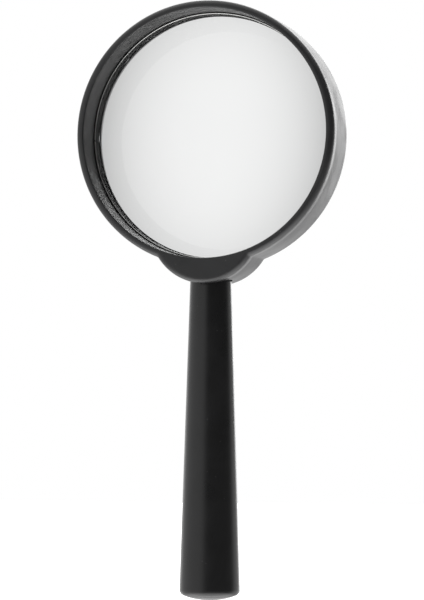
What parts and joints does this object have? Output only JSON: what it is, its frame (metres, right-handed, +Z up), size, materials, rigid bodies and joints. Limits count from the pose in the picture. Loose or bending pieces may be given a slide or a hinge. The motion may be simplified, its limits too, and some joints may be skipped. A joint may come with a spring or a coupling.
{
  "type": "magnifying glass",
  "caption": "Hand magnifying glass: round glass lens in a deep black plastic rim, on a tapered black plastic handle that screws off.",
  "frame": {"origin": "centre of the flat middle of the handle's end cap", "axes": "+Z up the handle's axis to the lens, -Y out of the hood along the lens axis, +X to the right seen from the hood side"},
  "size_m": [0.0802, 0.0194, 0.1808],
  "materials": {
    "rim_plastic": "satin moulded black",
    "handle_plastic": "smooth satin black, a little glossier than the rim",
    "ring_aluminium": "black anodised, with its front inner bevel cut bright",
    "lens_glass": "clear polished",
    "stud_steel": "turned",
    "insert_brass": "turned"
  },
  "bodies": {
    "grip": {"handle": "handle_plastic", "handle_insert": "insert_brass", "end_cap": "handle_plastic"},
    "stud": {"threaded_stud": "stud_steel"},
    "head": {"rim_frame": "rim_plastic", "lens": "lens_glass", "retaining_ring": "ring_aluminium"}
  },
  "joints": [
    {"name": "head_rise", "type": "slide", "parent": "grip", "child": "stud", "axis": [0, 0, 1], "range_m": [0, 0.008]},
    {"name": "head_unscrew", "type": "hinge", "parent": "stud", "child": "head", "pos_m": [0, 0, 0.0965], "axis": [0, 0, 1], "range_deg": [0, 2890]}
  ],
  "couplings": [
    {"joint": "head_unscrew", "follows": "head_rise", "rad_per_m": 6283.2}
  ]
}
